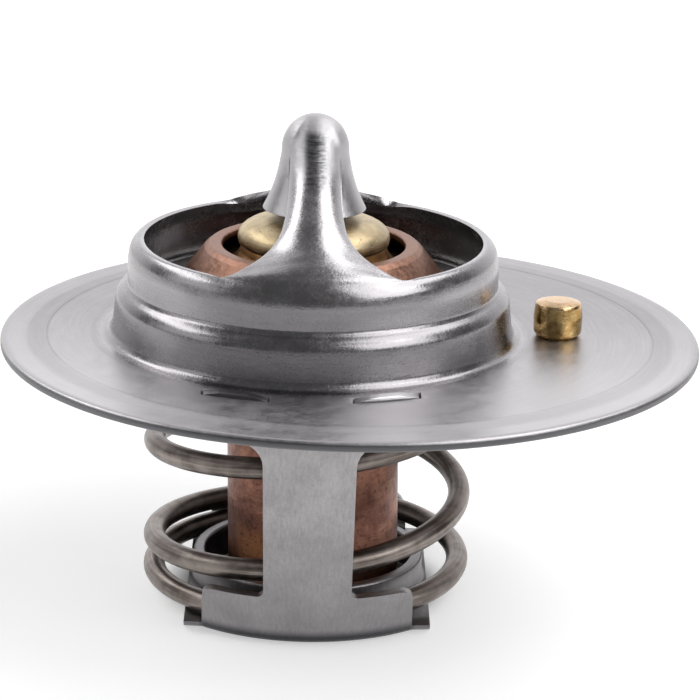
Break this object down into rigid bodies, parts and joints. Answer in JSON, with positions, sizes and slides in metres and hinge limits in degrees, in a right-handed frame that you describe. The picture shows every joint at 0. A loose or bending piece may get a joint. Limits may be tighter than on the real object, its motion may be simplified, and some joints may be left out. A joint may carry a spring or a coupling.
{
  "type": "engine thermostat",
  "caption": "Wax-capsule coolant valve for an engine: round sheet flange, stepped off-centre throat, bridge, spring-loaded plate valve, stirrup and a free jiggle pin.",
  "frame": {"origin": "centre of the flange rim, at the height of the underside of the flange's outer band", "axes": "+Z out of the throat towards the bridge (downstream), +X from the throat towards the jiggle pin, bridge and stirrup legs along Y"},
  "size_m": [0.054, 0.054, 0.0382],
  "materials": {
    "drawn_stainless": "satin, concentric drawing marks",
    "stamped_steel": "matte, fine grained",
    "plate_steel": "satin",
    "spring_wire": "drawn wire, warm grey",
    "copper": "copper, dull and mottled",
    "guide_brass": "matte, finely pitted",
    "hard_plastic": "smooth",
    "boot_rubber": "matte",
    "wax": "dull, with metal powder",
    "piston_steel": "ground",
    "pin_brass": "turned, golden brown"
  },
  "bodies": {
    "housing": {"flanged_body": "drawn_stainless", "lower_stirrup": "stamped_steel", "return_spring": "spring_wire", "piston": "piston_steel"},
    "valve": {"valve_plate": "plate_steel", "wax_cup": "copper", "piston_guide": "guide_brass", "backup_washer": "hard_plastic", "rubber_boot": "boot_rubber", "wax_charge": "wax"},
    "vent_pin": {"jiggle_pin": "pin_brass"}
  },
  "joints": [
    {"name": "valve_lift", "type": "slide", "parent": "housing", "child": "valve", "axis": [0, 0, -1], "range_m": [0, 0.008], "stiffness_N_per_m": 2400, "springref_m": -0.013, "deforming": ["return_spring"]},
    {"name": "pin_jiggle", "type": "slide", "parent": "housing", "child": "vent_pin", "axis": [0, 0, 1], "range_m": [0, 0.0015]}
  ]
}
